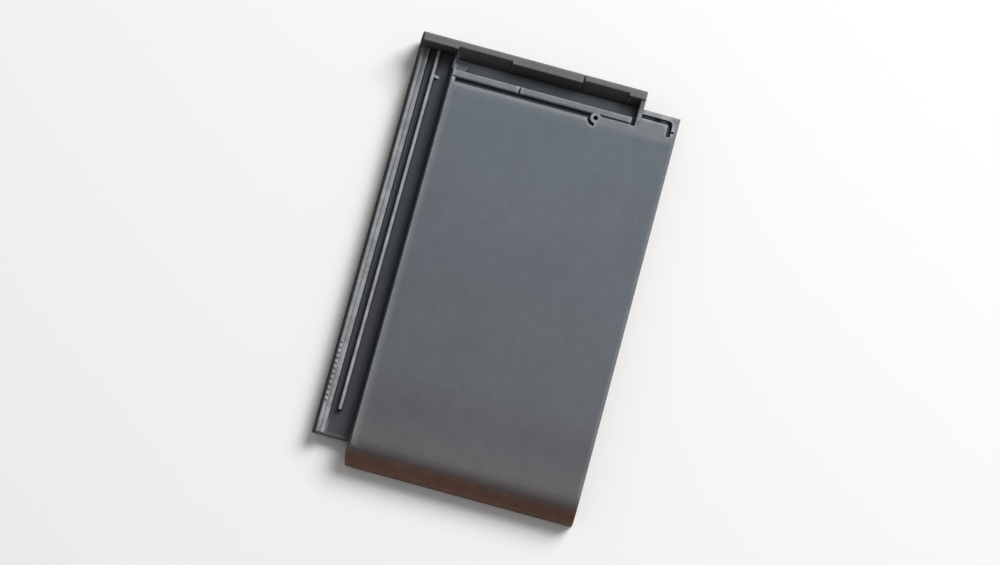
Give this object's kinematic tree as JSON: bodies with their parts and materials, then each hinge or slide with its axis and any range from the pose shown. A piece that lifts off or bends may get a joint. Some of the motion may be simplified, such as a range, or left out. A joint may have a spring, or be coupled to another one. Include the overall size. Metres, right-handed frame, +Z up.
{
  "type": "clay roof tile",
  "caption": "Flat interlocking clay roof tile with a ribbed side lock, a raised head lock with a nail hole, a covering right edge, hanging nibs and a rounded down-turned nose.",
  "frame": {"origin": "on the floor under the middle of the tile's outer box, as it lies face up", "axes": "+Y up the roof towards the head lock, +X across from the side lock to the covering edge, +Z up out of the face"},
  "size_m": [0.2792, 0.45, 0.04],
  "materials": {
    "engobed_clay": "matt slate-grey engobe over red-brown fired clay, which shows through at the nose and underneath"
  },
  "bodies": {
    "root": {"roof_tile": "engobed_clay"}
  },
  "joints": []
}
